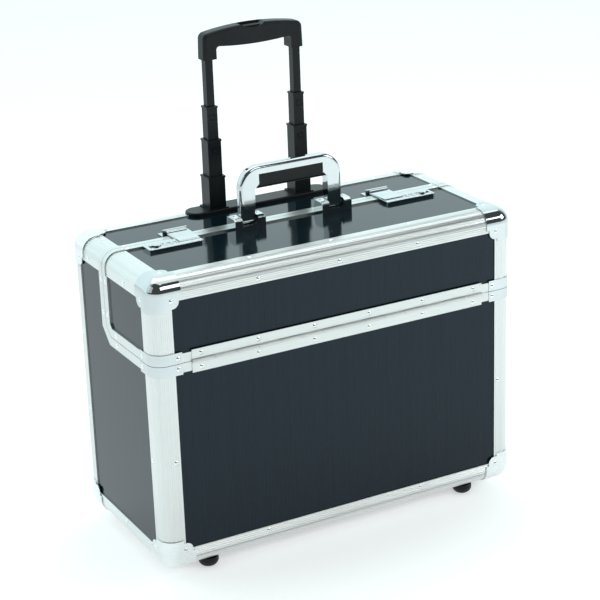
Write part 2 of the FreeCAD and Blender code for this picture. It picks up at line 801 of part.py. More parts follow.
tread = num("wheel_radius")
half_tyre = num("wheel_width") / 2
bore = num("wheel_bore_radius")
wheel_outline = [
    (bore, -half_tyre),
    (7.5, -half_tyre),
    (8.5, -half_tyre + 2.5),
    (tread - 6, -half_tyre + 2.5),
    (tread - 5, -half_tyre),
    (tread - 2.5, -half_tyre),
    (tread - 0.73, -half_tyre + 0.73, tread, -half_tyre + 2.5),
    (tread, half_tyre - 2.5),
    (tread - 0.73, half_tyre - 0.73, tread - 2.5, half_tyre),
    (tread - 5, half_tyre),
    (tread - 6, half_tyre - 2.5),
    (8.5, half_tyre - 2.5),
    (7.5, half_tyre),
    (bore, half_tyre),
]
housings = []
axles = []
for tag, side in zip(("Left", "Right"), SIDES):
    centre = side * num("wheel_spread")
    keep(
        "wheel_" + tag.lower(),
        turned("Wheel" + tag, wheel_outline, (centre, wheel_back, wheel_height), (1, 0, 0)),
    )
    half = housing_half - 0.1
    shell = block(
        "Housing" + tag,
        (centre - half, centre + half),
        (housing_front + 0.1, HALF_DEPTH + 1.2),
        (housing_bottom + 0.1, housing_top - 0.1),
    )
    well_half = num("wheel_width") / 2 + HOUSING_GAP
    well_back = (wheel_back - num("wheel_radius") - HOUSING_GAP, HALF_DEPTH + 10)
    well_high = wheel_height + num("wheel_radius") + HOUSING_GAP
    well = block("Well" + tag, (centre - well_half, centre + well_half), well_back, (0, well_high))
    axle_start = (centre - housing_half + 0.6, wheel_back, wheel_height)
    axle_length = 2 * housing_half - 1.2
    bore_tool = cylinder("HousingBore" + tag, "axle_radius", axle_length, axle_start, (1, 0, 0))
    housings.append(cut("WheelHousing" + tag, shell, well, bore_tool))
    axles.append(cylinder("Axle" + tag, "axle_radius", axle_length, axle_start, (1, 0, 0)))
keep("wheel_housings", group("WheelHousings", *housings))
keep("wheel_axles", group("WheelAxles", *axles))

# ---------------------------------------------------------------- telescopic trolley handle
# Two fixed sleeves inside the rear wall, three stages of square tube, then a pair of rods in the grip.

TUBE_BACK = num("tube_back")
TUBE_WALL = num("tube_wall")
SLIDE = num("slide_gap")
COLLAR = 9.0
SHOE = 12.0
LIP_HEIGHT = 2.5
LIP_SIZE = 1.2
PIN_HALF = num("lock_pin_size") / 2
PIN_DROP = num("lock_pin_drop")
TUBES = [(tag, side * num("tube_spread")) for tag, side in zip(("Left", "Right"), SIDES)]


def square(name, size, low, high, x, hollow=None):
    """A square bar, or a tube round a square hollow, with its axis upright at x."""
    loops = [rectangle(-size / 2, -size / 2, size / 2, size / 2)]
    if hollow:
        loops.append(rectangle(-hollow / 2, -hollow / 2, hollow / 2, hollow / 2))
    body = prism(name, "XY_Plane", loops, low, high)
    body.Placement = Placement(Vector(x, TUBE_BACK, 0), Rotation())
    return body


def pin_window(name, size, top, x, half, depth):
    """A square block in the front wall of a tube, at the height of its lock pin."""
    front = TUBE_BACK - size / 2
    middle = top - PIN_DROP
    return block(name, (x - half, x + half), (front, front + depth), (middle - half, middle + half))


def telescoping_tubes(name, size, top, low, inner_size, guide_hollow, pinned):
    """Left and right tubes: each has a lipped collar in its mouth and a guide shoe at its foot."""
    pieces = []
    hollow = size - 2 * TUBE_WALL
    for tag, x in TUBES:
        tube = square(name + tag, size, low, top, x, hollow)
        if pinned:
            window = pin_window(name + "Window" + tag, size, top, x, PIN_HALF + 0.5, 2)
            tube = cut(name + "Pinned" + tag, tube, window)
        pieces.append(tube)
        pieces.append(square(name + "Collar" + tag, hollow, top - COLLAR, top, x, inner_size + 2 * SLIDE))
        pieces.append(square(name + "Lip" + tag, size + LIP_SIZE, top - LIP_HEIGHT, top, x, size))
        pieces.append(square(name + "Shoe" + tag, guide_hollow - 2 * SLIDE, low - SHOE, low, x, hollow))
    return pieces


LENGTH = num("tube_length")
sleeve_low = BOTTOM + LEG + 1
stages = [
    (
        "lower_stage_tubes",
        "Lower",
        "lower_size",
        "lower_top",
        "middle_size",
        num("sleeve_size") - 2 * TUBE_WALL,
    ),
    (
        "middle_stage_tubes",
        "Middle",
        "middle_size",
        "middle_top",
        "upper_size",
        num("lower_size") - 2 * TUBE_WALL,
    ),
    ("upper_stage_tubes", "Upper", "upper_size", "upper_top", "rod_size", num("middle_size") - 2 * TUBE_WALL),
]
sleeves = []
for tag, x in TUBES:
    size = num("sleeve_size")
    sleeves.append(square("Sleeve" + tag, size, sleeve_low, TOP - WALL, x, size - 2 * TUBE_WALL))
keep("trolley_sleeves", group("Sleeves", *sleeves))
for label, name, size, top, inner, guide in stages:
    pinned = name != "Lower"
    tubes = telescoping_tubes(name, num(size), num(top), num(top) - LENGTH, num(inner), guide, pinned)
    keep(label, group(name + "Stage", *tubes))
    if pinned:
        pins = [
            pin_window(name + "Pin" + tag, num(size), num(top), x, PIN_HALF, TUBE_WALL)
            for tag, x in TUBES
        ]
        keep(name.lower() + "_lock_pins", group(name + "LockPins", *pins))

GRIP_LOW = num("grip_bottom")
ROD_TOP = GRIP_LOW + 14
rod_parts = []
for tag, x in TUBES:
    size = num("rod_size")
    rod_low = GRIP_LOW - LENGTH + 20
    rod_parts.append(square("Rod" + tag, size, rod_low, ROD_TOP, x, size - 2 * TUBE_WALL))
    foot_size = num("upper_size") - 2 * TUBE_WALL - 2 * SLIDE
    rod_parts.append(square("RodShoe" + tag, foot_size, rod_low - SHOE, rod_low, x, size - 2 * TUBE_WALL))
keep("grip_rods", group("GripRods", *rod_parts))

# The bezel sits on the rear top edge, and its skirt follows the rounded extrusion.
bezel_half = num("bezel_length") / 2
bezel_round = num("bezel_depth") / 2
bezel_back = TUBE_BACK
bezel_flat = bezel_half - bezel_round
bezel_loop = [
    (-bezel_flat, bezel_back - bezel_round),
    (bezel_flat, bezel_back - bezel_round),
    (bezel_half, bezel_back, bezel_flat, bezel_back + bezel_round),
    (-bezel_flat, bezel_back + bezel_round),
    (-bezel_half, bezel_back, -bezel_flat, bezel_back - bezel_round),
]
BEZEL_TOP = TOP + num("bezel_height")
bezel_plate = prism("BezelPlate", "XY_Plane", [bezel_loop], TOP - 12, BEZEL_TOP)
round_edges(bezel_plate, 2.0, lambda edge: all(v.Z > BEZEL_TOP - 0.01 for v in edge.Vertexes))
radius = num("profile_radius")
bezel_tools = [
    block("UnderBezelPanel", (-130, 130), (60, HALF_DEPTH - LEG + 0.05), (TOP - 20, TOP - WALL)),
    block("UnderBezelFlat", (-130, 130), (HALF_DEPTH - LEG, HALF_DEPTH - radius), (TOP - 20, TOP)),
    cylinder(
        "UnderBezelRound",
        "profile_radius + 0.02",
        "260",
        (-130, HALF_DEPTH - radius, TOP - radius),
        (1, 0, 0),
    ),
]
collar_size = num("lower_size") + 5
tube_hole = num("lower_size") + 2 * SLIDE
collars = []
for tag, x in TUBES:
    collars.append(square("BezelCollar" + tag, collar_size, TOP, BEZEL_TOP + 1.5, x))
    bezel_tools.append(square("BezelHole" + tag, tube_hole, TOP - 20, BEZEL_TOP + 5, x))
    bezel_tools.append(square("BezelSocket" + tag, num("sleeve_size") + 0.2, TOP - 20, TOP - WALL, x))
keep("trolley_bezel", cut("Bezel", fuse("BezelBody", bezel_plate, *collars), *bezel_tools))

# The grip is one arched bar with a leg over each rod. Its belly hangs a little, and a scoop in its top
# front edge lets a thumb reach the release button.
grip_half = num("grip_width") / 2
leg_in = num("tube_spread") - num("grip_leg_width") / 2
GRIP_CORNER = GRIP_LOW + 31
GRIP_CROWN = GRIP_LOW + 37.5
BELLY = GRIP_LOW + 12.7
LEG_ROOT = BELLY + 3
grip_loop = [
    (-grip_half, GRIP_LOW),
    (-leg_in, GRIP_LOW),
    (-leg_in, LEG_ROOT),
    (0, BELLY, leg_in, LEG_ROOT),
    (leg_in, GRIP_LOW),
    (grip_half, GRIP_LOW),
    (grip_half - 1, GRIP_CORNER),
    (0, GRIP_CROWN, 1 - grip_half, GRIP_CORNER),
]
half_grip = num("grip_depth") / 2
grip_body = prism("GripBody", "XZ_Plane", [grip_loop], -half_grip, half_grip)
round_edges(grip_body, 8, lambda e: abs(e.CenterOfMass.z - GRIP_CORNER) < 0.01 and abs(e.CenterOfMass.y) < 1)
round_edges(grip_body, 4, lambda e: abs(e.CenterOfMass.z - LEG_ROOT) < 0.01 and abs(e.CenterOfMass.y) < 1)
round_edges(
    grip_body,
    4,
    lambda e: abs(abs(e.CenterOfMass.y) - half_grip) < 0.01
    and (e.CenterOfMass.z > GRIP_CORNER - 8 or abs(e.CenterOfMass.x) > grip_half - 1.1),
)
grip_body.Placement = Placement(Vector(0, TUBE_BACK, 0), Rotation())
BUTTON_HALF = 11.0
BUTTON_FRONT = 6.5
BUTTON_REAR = 3.5
SCOOP_RADIUS = 31.5
SCOOP_DEPTH = 5.2
button_floor = GRIP_CROWN - 12
scoop_floor = GRIP_CROWN - SCOOP_DEPTH
scoop_start = (0, TUBE_BACK + BUTTON_REAR + 1.5, scoop_floor + SCOOP_RADIUS)
grip_tools = [
    cylinder("ThumbScoop", SCOOP_RADIUS, "grip_depth", scoop_start, (0, -1, 0)),
    block(
        "ButtonWell",
        (-BUTTON_HALF - 0.4, BUTTON_HALF + 0.4),
        (TUBE_BACK - BUTTON_FRONT - 0.4, TUBE_BACK + BUTTON_REAR + 0.4),
        (button_floor, GRIP_CROWN),
    ),
]
for tag, x in TUBES:
    grip_tools.append(square("GripSocket" + tag, num("rod_size"), GRIP_LOW - 1, ROD_TOP, x))
keep("grip_shell", cut("GripShell", grip_body, *grip_tools))
button = block(
    "GripButton",
    (-BUTTON_HALF, BUTTON_HALF),
    (TUBE_BACK - BUTTON_FRONT, TUBE_BACK + BUTTON_REAR),
    (button_floor + 3.3, scoop_floor + 2.4),
)
keep("grip_button", button)

# ---------------------------------------------------------------- carry handle
# A flat bright loop with a moulded insert under its bar, on two pins in saddle brackets on the lid.

PIVOT = num("handle_pivot_height")
HANDLE_BACK = num("handle_back")
SPREAD = num("bracket_spread")
handle_half = num("handle_width") / 2
handle_in = handle_half - num("handle_leg")
HANDLE_TOP = num("handle_top")
half_depth = num("handle_depth") / 2
leg_end = PIVOT - half_depth
bar_low = HANDLE_TOP - 10.5
outer_bend = 27.0
insert_high = bar_low - 12
insert_low = bar_low - 18
insert_half = handle_in - 6
TONGUE_HALF = half_depth - 2
SHOULDER = PIVOT + 32

loop_points = [(-handle_half, leg_end)]
for x_sign in SIDES:
    middle = outer_bend * math.sqrt(0.5)
    rise = HANDLE_TOP - outer_bend
    knee = (x_sign * handle_half, rise)
    crown = (x_sign * (handle_half - outer_bend), HANDLE_TOP)
    halfway = (x_sign * (handle_half - outer_bend + middle), rise + middle)
    loop_points += [knee, halfway + crown] if x_sign < 0 else [crown, halfway + knee]
loop_points += [
    (handle_half, leg_end),
    (handle_in, leg_end),
    (handle_in, insert_low),
    (insert_half, insert_high),
    (insert_half, bar_low),
    (-insert_half, bar_low),
    (-insert_half, insert_high),
    (-handle_in, insert_low),
    (-handle_in, leg_end),
]
loop_body = prism("HandleLoop", "XZ_Plane", [loop_points], -half_depth, half_depth)


def outer_rim(edge):
    """The loop's outside edges, front and back, above the brackets."""
    middle = edge.CenterOfMass
    flat_side = abs(abs(middle.y) - half_depth) < 0.01
    return flat_side and middle.z > PIVOT + 10 and (abs(middle.x) > handle_in + 1 or middle.z > bar_low + 5)


round_edges(loop_body, 4.2, outer_rim)
loop_body.Placement = Placement(Vector(0, HANDLE_BACK, 0), Rotation())
shoulder_bend = num("handle_leg")
loop_tools = []
for tag, side in zip(("Left", "Right"), SIDES):
    x0 = side * SPREAD - num("handle_leg") / 2 - 1
    loop_tools.append(
        cylinder("TongueBore" + tag, "2.5 + running_gap", "24", (x0, HANDLE_BACK, PIVOT), (1, 0, 0))
    )
    # the foot of each leg is round about the pin, so that the handle can swing
    foot_block = block(
        "TongueFoot" + tag,
        (x0, x0 + 24),
        (HANDLE_BACK - half_depth - 1, HANDLE_BACK + half_depth + 1),
        (leg_end - 1, PIVOT),
    )
    foot_round = cylinder("TongueRound" + tag, TONGUE_HALF, "24", (x0, HANDLE_BACK, PIVOT), (1, 0, 0))
    loop_tools.append(cut("TongueTrim" + tag, foot_block, foot_round))
    # below a curved shoulder the leg thins to a tongue
    shoulder_centre = (side * handle_in, HANDLE_BACK - half_depth - 2, SHOULDER)
    shoulder_disc = cylinder(
        "ShoulderDisc" + tag, shoulder_bend, 2 * half_depth + 4, shoulder_centre, (0, 1, 0)
    )
    cheeks = [
        block(
            "Cheek" + face + tag,
            (x0, x0 + 24),
            sorted((HANDLE_BACK + y_sign * TONGUE_HALF, HANDLE_BACK + y_sign * (half_depth + 1))),
            (leg_end - 1, SHOULDER),
        )
        for face, y_sign in (("Front", -1), ("Rear", 1))
    ]
    loop_tools += [cut(f"ShoulderCheek{n}{tag}", cheek, shoulder_disc) for n, cheek in enumerate(cheeks)]
keep("handle_loop", cut("HandleLoopCut", loop_body, *loop_tools))

insert_loop = [
    (-insert_half, bar_low),
    (-insert_half, insert_high),
    (-handle_in + 0.2, insert_low),
    (handle_in - 0.2, insert_low),
    (insert_half, insert_high),
    (insert_half, bar_low),
]
insert = prism("HandleGrip", "XZ_Plane", [insert_loop], -half_depth + 0.4, half_depth - 0.4)
round_edges(insert, 3.5, lambda e: abs(e.CenterOfMass.z - insert_low) < 0.01 and abs(e.CenterOfMass.x) < 1)
insert.Placement = Placement(Vector(0, HANDLE_BACK, 0), Rotation())
keep("handle_grip", insert)

bracket_half = num("bracket_width") / 2
PANEL_TOP = TOP - WALL
crest = PANEL_TOP + num("bracket_height")
saddle_front = HANDLE_BACK - 11
saddle_rear = SEAM - 0.7
rim_front = SEAM - TOP_RIM - 0.1
LIP_TOP = PIVOT - 3.8
saddle_loop = [
    (saddle_front, PANEL_TOP),
    (rim_front, PANEL_TOP),
    (rim_front, TOP + PROUD),
    (saddle_rear, TOP + PROUD),
    (saddle_rear, crest - 8),
    (saddle_rear - 4, crest),
    (saddle_front + 4, crest),
    (saddle_front, crest - 2.5),
]
brackets = []
pins = []
for tag, side in zip(("Left", "Right"), SIDES):
    centre = side * SPREAD
    saddle = prism("Saddle" + tag, "YZ_Plane", [saddle_loop], centre - bracket_half, centre + bracket_half)
    round_edges(saddle, 1.5, lambda e: e.CenterOfMass.z > crest - 9 and len(e.Vertexes) == 2)
    slot_half = num("handle_leg") / 2 + 0.8
    slot_x = (centre - slot_half, centre + slot_half)
    slot_rear = HANDLE_BACK + half_depth + 0.8
    # the slot is open in front above a low lip, which stops the handle when it is folded down
    slot = block("LegSlot" + tag, slot_x, (saddle_front + 3, slot_rear), (leg_end - 0.6, crest + 2))
    mouth = block("SlotMouth" + tag, slot_x, (saddle_front - 1, saddle_front + 3.5), (LIP_TOP, crest + 2))
    pin_start = (centre - 18, HANDLE_BACK, PIVOT)
    bore_tool = cylinder("SaddleBore" + tag, "2.5", "36", pin_start, (1, 0, 0))
    brackets.append(cut("Bracket" + tag, saddle, slot, mouth, bore_tool))
    pins.append(cylinder("HandlePin" + tag, "2.5", "36", pin_start, (1, 0, 0)))
keep("handle_brackets", group("Brackets", *brackets))
keep("handle_pins", group("HandlePins", *pins))

# ---------------------------------------------------------------- combination locks
# Each lock has a case on the lid, three dials on an axle, an oval release slide and a hasp that
# lies over the seam onto a catch on the fixed half.

LOCK_TOP = PANEL_TOP + num("lock_height")
LOCK_FRONT = -14.0
lock_back = LOCK_FRONT + num("lock_depth")
DIAL_BACK = -4.0
dial_height = LOCK_TOP - num("dial_radius") + 0.8
HASP_PIVOT_BACK = -3.0
hasp_height = LOCK_TOP - 0.6
DIAL_CAVITY = 6.4
SLIDE_BACK = -4.0
SLIDE_HALF = 3.6

lock_cases = []
catches = []
panel_openings = []
rim_radius = num("dial_radius")
half_dial = num("dial_width") / 2
dial_outline = [
    (1.05, -half_dial),
    (rim_radius - 0.7, -half_dial),
    (rim_radius, -half_dial + 0.7),
    (rim_radius, half_dial - 0.7),
    (rim_radius - 0.7, half_dial),
    (1.05, half_dial),
]
for tag, outward in (("left", -1), ("right", 1)):
    title = tag.capitalize()
    centre = outward * num("lock_spread")
    half = num("lock_length") / 2
    hasp_centre = centre - outward * 20.5
    dial_centre = centre + outward * 5.5
    slide_centre = centre + outward * 22
    pitch = num("dial_pitch")
    body = prism(
        "LockCase" + title,
        "XY_Plane",
        [rectangle(centre - half, LOCK_FRONT, centre + half, lock_back)],
        PANEL_TOP,
        LOCK_TOP,
    )
    round_edges(body, 2.5, lambda e: abs(e.Vertexes[0].Z - e.Vertexes[1].Z) > 3)
    round_edges(body, 0.8, lambda e: all(v.Z > LOCK_TOP - 0.01 for v in e.Vertexes))
    cavity_half = pitch + num("dial_width") / 2 + 0.4
    tools = [
        block(
            "DialCavity" + title,
            (dial_centre - cavity_half, dial_centre + cavity_half),
            (DIAL_BACK - DIAL_CAVITY, DIAL_BACK + DIAL_CAVITY),
            (PANEL_TOP - 1, LOCK_TOP - 1.2),
        ),
        block(
            "SlideTrack" + title,
            sorted((slide_centre - outward * 4.9, slide_centre + outward * 8.9)),
            (SLIDE_BACK - 4.0, SLIDE_BACK + 4.0),
            (LOCK_TOP - 2, LOCK_TOP + 1),
        ),
        block(
            "HaspRecess" + title,
            (hasp_centre - num("hasp_width") / 2 - 0.5, hasp_centre + num("hasp_width") / 2 + 0.5),
            (HASP_PIVOT_BACK - 3.2, lock_back + 1),
            (LOCK_TOP - 3.4, LOCK_TOP + 1),
        ),
    ]
    for n in (-1, 0, 1):
        x = dial_centre + n * pitch
        window_half = num("dial_width") / 2 + 0.35
        tools.append(
            block(
                f"Window{title}{n + 1}",
                (x - window_half, x + window_half),
                (DIAL_BACK - 4.6, DIAL_BACK + 4.6),
                (LOCK_TOP - 2, LOCK_TOP + 1),
            )
        )
        dial = turned(f"Dial{title}{n + 1}", dial_outline, (x, DIAL_BACK, dial_height), (1, 0, 0))
        keep(f"dial_{tag}_{n + 2}", dial)
    lock_cases.append(cut("LockBody" + title, body, *tools))
    axle_start = (dial_centre - cavity_half, DIAL_BACK, dial_height)
    lock_cases.append(cylinder("DialAxle" + title, "1", 2 * cavity_half, axle_start, (1, 0, 0)))
    pin_length = num("hasp_width") + 1
    pin_start = (hasp_centre - pin_length / 2, HASP_PIVOT_BACK, hasp_height)
    lock_cases.append(cylinder("HaspPin" + title, "0.9", pin_length, pin_start, (1, 0, 0)))
    panel_openings.append(
        block(
            "DialOpening" + title,
            (dial_centre - cavity_half, dial_centre + cavity_half),
            (DIAL_BACK - DIAL_CAVITY, DIAL_BACK + DIAL_CAVITY),
            (TOP - 10, TOP),
        )
    )

    # release slide
    slide_loop = [
        (slide_centre - 1, SLIDE_BACK - SLIDE_HALF),
        (slide_centre + 1, SLIDE_BACK - SLIDE_HALF),
        (slide_centre + 1 + SLIDE_HALF, SLIDE_BACK, slide_centre + 1, SLIDE_BACK + SLIDE_HALF),
        (slide_centre - 1, SLIDE_BACK + SLIDE_HALF),
        (slide_centre - 1 - SLIDE_HALF, SLIDE_BACK, slide_centre - 1, SLIDE_BACK - SLIDE_HALF),
    ]
    slide_body = prism("LockSlide" + title, "XY_Plane", [slide_loop], LOCK_TOP - 1.9, LOCK_TOP + 1.6)
    keep("lock_slide_" + tag, slide_body)

    # hasp: knuckle at the front, flat strap over the seam and a rolled end behind it
    strap_low = TOP + PROUD + 0.7
    hasp_loop = [
        (HASP_PIVOT_BACK - 0.5, hasp_height - 1.9),
        (lock_back - 2.5, hasp_height - 1.9),
        (lock_back, strap_low),
        (SEAM + 14, strap_low),
        (SEAM + 14, strap_low + 2),
        (lock_back + 1, strap_low + 2),
        (HASP_PIVOT_BACK, hasp_height + 1.9),
    ]
    x0 = hasp_centre - num("hasp_width") / 2
    x1 = hasp_centre + num("hasp_width") / 2
    strap = prism("HaspStrap" + title, "YZ_Plane", [hasp_loop], x0, x1)
    hasp_axis = (x0, HASP_PIVOT_BACK, hasp_height)
    knuckle = cylinder("HaspKnuckle" + title, "1.9", "hasp_width", hasp_axis, (1, 0, 0))
    roll = cylinder("HaspRoll" + title, "2.4", "hasp_width", (x0, SEAM + 14.5, strap_low + 1.6), (1, 0, 0))
    bore_start = (x0 - 1, HASP_PIVOT_BACK, hasp_height)
    hasp_bore = cylinder("HaspBore" + title, "0.95", "hasp_width + 2", bore_start, (1, 0, 0))
    keep("hasp_" + tag, cut("Hasp" + title, fuse("HaspBody" + title, strap, knuckle, roll), hasp_bore))

    # catch: a riveted plate with an upright tongue behind the rolled end
    plate_half = num("hasp_width") / 2 + 6
    rim_edge = SEAM + TOP_RIM + 0.2
    catch_plate = block(
        "CatchPlate" + title,
        (hasp_centre - plate_half, hasp_centre + plate_half),
        (rim_edge, SEAM + 26),
        (PANEL_TOP, PANEL_TOP + 1.6),
    )
    lug_top = strap_low + 4
    lug = block(
        "CatchLug" + title,
        (hasp_centre - plate_half + 3, hasp_centre + plate_half - 3),
        (SEAM + 18, SEAM + 20.5),
        (PANEL_TOP + 1.6, lug_top),
    )
    catches += [catch_plate, lug]

keep("lock_cases", group("LockCases", *lock_cases))
keep("hasp_catches", group("HaspCatches", *catches))
lid_board = block(
    "LidBoard", inside_x, ("-case_depth / 2 + panel_edge", f"seam_back - {board_setback}"), top_skin
)
keep("lid_top_panel", cut("LidTopPanel", lid_board, *panel_openings))

# ---------------------------------------------------------------- check and export

doc.recompute()
failed = [o.Name for o in doc.Objects if "Invalid" in o.State or "Error" in o.State]
if failed:
    raise RuntimeError(f"objects that failed to build: {failed}")
for label, piece in NODES.items():
    if piece.Shape.isNull() or not piece.Shape.isValid() or not piece.Shape.Solids:
        raise RuntimeError(f"sub-part {label} has no valid solid")

os.makedirs("parts", exist_ok=True)
for label, piece in NODES.items():
    piece.Shape.exportStep(os.path.join("parts", label + ".step"))
print(f"{len(NODES)} sub-parts written")
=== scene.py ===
import bpy
import math
from mathutils import Matrix, Vector


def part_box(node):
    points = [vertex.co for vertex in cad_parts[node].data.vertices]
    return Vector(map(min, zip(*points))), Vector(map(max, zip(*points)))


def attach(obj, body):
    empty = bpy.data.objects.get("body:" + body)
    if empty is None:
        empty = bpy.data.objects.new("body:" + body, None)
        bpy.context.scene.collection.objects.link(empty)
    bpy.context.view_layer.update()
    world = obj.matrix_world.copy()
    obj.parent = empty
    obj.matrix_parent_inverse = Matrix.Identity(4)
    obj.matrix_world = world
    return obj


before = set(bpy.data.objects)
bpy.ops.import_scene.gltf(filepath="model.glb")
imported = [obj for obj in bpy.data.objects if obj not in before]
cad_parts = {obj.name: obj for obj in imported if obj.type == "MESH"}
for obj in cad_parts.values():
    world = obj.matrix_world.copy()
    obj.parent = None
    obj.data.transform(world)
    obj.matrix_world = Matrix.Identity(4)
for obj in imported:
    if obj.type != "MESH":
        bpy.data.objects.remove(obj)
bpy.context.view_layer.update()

bpy.ops.object.select_all(action="DESELECT")

# ---- Camera, floor and studio light
# A long lens looks down a little on the front and left of the case. The floor is a matt pale sweep. The
# surroundings are dark in front of the case and bright behind it. Soft boxes stand above, in front and to
# the left, and a small one lights the floor at the right.
looking_at = Vector((0.0061, 0.0, 0.267))
camera_data = bpy.data.cameras.new("camera")
camera_data.sensor_width = 36
camera_data.lens = 111.7
camera = bpy.data.objects.new("camera", camera_data)
bpy.context.scene.collection.objects.link(camera)
turn, rise, tilt = math.radians(-28.2), math.radians(20.42), math.radians(-2.02)
away = Vector((math.sin(turn) * math.cos(rise), -math.cos(turn) * math.cos(rise), math.sin(rise)))
camera.location = looking_at + away * 2.2846
camera.rotation_euler = (away.to_track_quat("Z", "Y").to_matrix() @ Matrix.Rotation(tilt, 3, "Z")).to_euler()
bpy.context.scene.camera = camera

bpy.ops.mesh.primitive_plane_add(size=30, location=(0, 0, 0))
floor = bpy.context.object
floor.name = "studio_floor"
floor_paper = bpy.data.materials.new("floor_paper")
floor_paper.use_nodes = True
paper = floor_paper.node_tree.nodes["Principled BSDF"]
paper.inputs["Base Color"].default_value = (0.70, 0.74, 0.74, 1)
paper.inputs["Roughness"].default_value = 0.9
paper.inputs["Specular IOR Level"].default_value = 0.0
paper.inputs["Emission Color"].default_value = (1.0, 1.0, 1.0, 1)
paper.inputs["Emission Strength"].default_value = 0.52
floor.data.materials.append(floor_paper)

studio = bpy.data.worlds.new("studio")
studio.use_nodes = True
bpy.context.scene.world = studio
sky = studio.node_tree
direction = sky.nodes.new("ShaderNodeTexCoord")
split = sky.nodes.new("ShaderNodeSeparateXYZ")
sweep = sky.nodes.new("ShaderNodeMapRange")
tone = sky.nodes.new("ShaderNodeMix")
tone.data_type = "RGBA"
sky.links.new(direction.outputs["Generated"], split.inputs[0])
sky.links.new(split.outputs["Y"], sweep.inputs["Value"])
sweep.inputs["From Min"].default_value = -0.12
sweep.inputs["From Max"].default_value = 0.34
sky.links.new(sweep.outputs[0], tone.inputs[0])
tone.inputs[6].default_value = (0.07, 0.08, 0.085, 1)
tone.inputs[7].default_value = (1.12, 1.36, 1.38, 1)
sky.links.new(tone.outputs[2], sky.nodes["Background"].inputs["Color"])
sky.nodes["Background"].inputs["Strength"].default_value = 1.0
bpy.context.scene.view_settings.view_transform = "Standard"


def soft_box(name, place, aim, width, height, power):
    data = bpy.data.lights.new(name, "AREA")
    data.shape = "RECTANGLE"
    data.size = width
    data.size_y = height
    data.energy = power
    data.color = (0.96, 1.0, 0.99)
    lamp = bpy.data.objects.new(name, data)
    lamp.location = place
    lamp.rotation_euler = (Vector(aim) - Vector(place)).to_track_quat("-Z", "Y").to_euler()
    bpy.context.scene.collection.objects.link(lamp)


soft_box("overhead_box", (0.2, 0.2, 2.6), (0, 0, 0.2), 2.6, 2.2, 20)
soft_box("front_box", (0.6, -2.4, 2.0), (0, 0, 0.25), 1.4, 1.0, 12)
soft_box("left_box", (-2.4, -0.5, 1.5), (0, 0, 0.25), 1.4, 1.8, 5)
soft_box("floor_box", (1.4, -1.1, 1.0), (0.7, -0.8, 0), 0.7, 0.7, 7)

# ---- Corner extrusions
# Ribbed corner extrusions of bright anodised aluminium make the frame of the case and of the lid.
# They are cut to length and mitred under the corner caps.


class Shade:
    """A value or colour in a finish's node tree. Sums written on it become Math nodes."""

    def __init__(self, tree, socket=None):
        self.tree = tree
        self.socket = socket

    def node(self, kind, settings=None, values=None, out=0):
        """Adds any node: first its settings, then the values or links of its sockets."""
        made = self.tree.nodes.new("ShaderNode" + kind)
        for key, setting in (settings or {}).items():
            if key == "stops":
                ramp = made.color_ramp.elements
                while len(ramp) < len(setting):
                    ramp.new(0.5)
                for stop, (place, colour) in zip(ramp, setting):
                    stop.position = place
                    stop.color = colour
            else:
                setattr(made, key, setting)
        for key, value in (values or {}).items():
            if isinstance(value, Shade):
                self.tree.links.new(value.socket, made.inputs[key])
            else:
                made.inputs[key].default_value = value
        return Shade(self.tree, made.outputs[out])

    def sum(self, operation, other, flipped=False):
        pair = (other, self) if flipped else (self, other)
        return self.node("Math", {"operation": operation}, {0: pair[0], 1: pair[1]})

    def __add__(self, other):
        return self.sum("ADD", other)

    def __sub__(self, other):
        return self.sum("SUBTRACT", other)

    def __rsub__(self, other):
        return self.sum("SUBTRACT", other, True)

    def __mul__(self, other):
        return self.sum("MULTIPLY", other)

    def __rmul__(self, other):
        return self.sum("MULTIPLY", other)

    def __gt__(self, other):
        return self.sum("GREATER_THAN", other)

    def __lt__(self, other):
        return self.sum("LESS_THAN", other)


def new_finish(name, **constants):
    """A material with its own Principled shader. Returns it with a Shade on its tree and the shader."""
    material = bpy.data.materials.new(name)
    material.use_nodes = True
    shader = material.node_tree.nodes["Principled BSDF"]
    for key, value in constants.items():
        shader.inputs[key.replace("_", " ")].default_value = value
    return material, Shade(material.node_tree), shader


def feed(shade, shader, **links):
    for key, value in links.items():
        shade.tree.links.new(value.socket, shader.inputs[key.replace("_", " ")])


def drawn_aluminium(name, along, colour, shine):
    """Drawn aluminium whose die lines run along one axis of the object."""
    material, on, shader = new_finish(name, Metallic=1.0)
    place = on.node("TexCoord", out=3)
    stretch = [220.0, 220.0, 220.0]
    stretch["XYZ".index(along)] = 2.0
    streaks = on.node("Mapping", values={"Vector": place, "Scale": stretch})
    lines = on.node("TexNoise", values={"Vector": streaks, "Scale": 3.0, "Detail": 3.0, "Roughness": 0.6})
    clouds = on.node("TexNoise", values={"Vector": place, "Scale": 9.0, "Detail": 2.0})
    darker = tuple(part * 0.88 for part in colour) + (1,)
    tone = on.node(
        "ValToRGB", {"stops": [(0.3, darker), (0.7, colour + (1,))]}, {0: lines * 0.7 + clouds * 0.3}
    )
    bump = on.node("Bump", values={"Height": lines, "Strength": 0.12, "Distance": 0.0004})
    feed(on, shader, Base_Color=tone, Roughness=lines * 0.16 + (clouds * 0.06 + shine), Normal=bump)
    return material


def dress(material, *nodes):
    """Gives CAD nodes a finish."""
    for node in nodes:
        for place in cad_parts[node].material_slots:
            place.material = material


bright = (0.74, 0.755, 0.745)
dress(drawn_aluminium("extrusion_across", "X", bright, 0.2), "bottom_long_profiles", "top_rear_profile",
      "lid_front_profile")
dress(drawn_aluminium("extrusion_deep", "Y", bright, 0.2), "bottom_side_profiles", "top_side_profiles",
      "lid_side_profiles")
dress(drawn_aluminium("extrusion_upright", "Z", bright, 0.2), "front_posts", "rear_posts", "lid_posts")

# ---- Panels
# Hard boards with a dark, glossy, finely grained laminate outside and a grey felt lining inside.
# Their edges are held in the channels of the extrusions.


